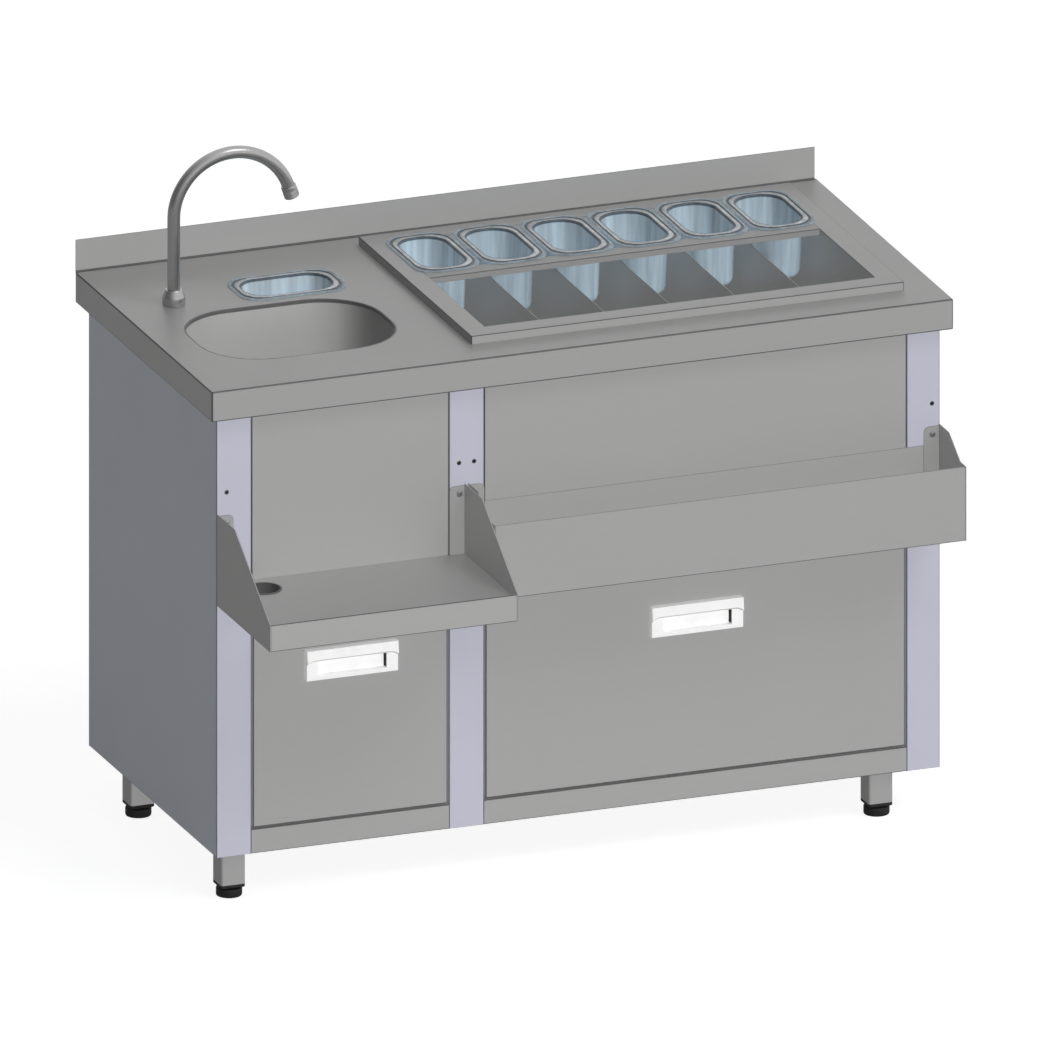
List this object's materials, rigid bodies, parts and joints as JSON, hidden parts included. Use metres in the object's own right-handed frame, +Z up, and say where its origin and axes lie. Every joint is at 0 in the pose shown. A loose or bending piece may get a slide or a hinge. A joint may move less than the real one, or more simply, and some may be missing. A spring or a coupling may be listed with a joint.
{
  "type": "bar station",
  "caption": "Stainless bar workstation with a sink, a swivel spout, a cold well with lift-out pans, drawers, a front shelf and a bottle rail.",
  "frame": {"origin": "middle of the bounding box's footprint, on the floor under the feet", "axes": "+X to the right along the worktop, seen from the front; +Y to the back; +Z up"},
  "size_m": [1.23, 0.812, 1.0985],
  "materials": {
    "top_steel": "satin",
    "front_steel": "satin",
    "side_steel": "satin",
    "post_paint": "satin",
    "zinc": "satin",
    "chrome": "polished",
    "brass": "satin",
    "pan_plastic": "gloss",
    "white_plastic": "satin",
    "pipe_plastic": "matte",
    "black_plastic": "matte",
    "board": "matte",
    "foam": "matte"
  },
  "bodies": {
    "station": {"worktop": "top_steel", "well_frame": "top_steel", "well_bar": "top_steel", "sink_bowl": "top_steel", "well_liner": "top_steel", "well_floor_grid": "top_steel", "well_dividers": "top_steel", "shelf": "top_steel", "shelf_left_bracket": "top_steel", "shelf_right_bracket": "top_steel", "shelf_sleeve": "top_steel", "bottle_rail": "top_steel", "rail_left_bracket": "top_steel", "rail_right_bracket": "top_steel", "leg_front_left": "top_steel", "leg_front_right": "top_steel", "leg_back_left": "top_steel", "leg_back_right": "top_steel", "back_panel": "front_steel", "bottom_panel": "front_steel", "partition": "front_steel", "left_fascia": "front_steel", "right_fascia": "front_steel", "left_base_rail": "front_steel", "right_base_rail": "front_steel", "left_side_panel": "side_steel", "right_side_panel": "side_steel", "left_post": "post_paint", "middle_post": "post_paint", "right_post": "post_paint", "well_casing": "zinc", "bracket_screws": "zinc", "drawer_channels": "zinc", "faucet_base": "chrome", "sink_waste": "chrome", "faucet_backnut": "brass", "supply_pipe": "brass", "bottle_trap": "pipe_plastic", "waste_pipe": "pipe_plastic", "well_drain": "pipe_plastic", "feet": "black_plastic", "backing_board": "board", "well_insulation": "foam"},
    "left_drawer": {"left_drawer_front": "front_steel", "left_drawer_box": "front_steel", "left_drawer_runners": "zinc", "left_drawer_handle": "white_plastic"},
    "right_drawer": {"right_drawer_front": "front_steel", "right_drawer_box": "front_steel", "right_drawer_runners": "zinc", "right_drawer_handle": "white_plastic"},
    "swivel_spout": {"spout": "chrome", "aerator": "chrome"},
    "garnish": {"garnish_pan": "pan_plastic"},
    "pan_1": {"well_pan_1": "pan_plastic"},
    "pan_2": {"well_pan_2": "pan_plastic"},
    "pan_3": {"well_pan_3": "pan_plastic"},
    "pan_4": {"well_pan_4": "pan_plastic"},
    "pan_5": {"well_pan_5": "pan_plastic"},
    "pan_6": {"well_pan_6": "pan_plastic"}
  },
  "joints": [
    {"name": "left_drawer_slide", "type": "slide", "parent": "station", "child": "left_drawer", "axis": [0, -1, 0], "range_m": [0, 0.4]},
    {"name": "right_drawer_slide", "type": "slide", "parent": "station", "child": "right_drawer", "axis": [0, -1, 0], "range_m": [0, 0.4]},
    {"name": "spout_swivel", "type": "hinge", "parent": "station", "child": "swivel_spout", "pos_m": [-0.526, 0.209, 0.87], "axis": [0, 0, 1], "range_deg": [-135, 45]},
    {"name": "garnish_pan_lift", "type": "slide", "parent": "station", "child": "garnish", "axis": [0, 0, 1], "range_m": [0, 0.12]},
    {"name": "pan_1_lift", "type": "slide", "parent": "station", "child": "pan_1", "axis": [0, 0, 1], "range_m": [0, 0.12]},
    {"name": "pan_2_lift", "type": "slide", "parent": "station", "child": "pan_2", "axis": [0, 0, 1], "range_m": [0, 0.12]},
    {"name": "pan_3_lift", "type": "slide", "parent": "station", "child": "pan_3", "axis": [0, 0, 1], "range_m": [0, 0.12]},
    {"name": "pan_4_lift", "type": "slide", "parent": "station", "child": "pan_4", "axis": [0, 0, 1], "range_m": [0, 0.12]},
    {"name": "pan_5_lift", "type": "slide", "parent": "station", "child": "pan_5", "axis": [0, 0, 1], "range_m": [0, 0.12]},
    {"name": "pan_6_lift", "type": "slide", "parent": "station", "child": "pan_6", "axis": [0, 0, 1], "range_m": [0, 0.12]}
  ]
}
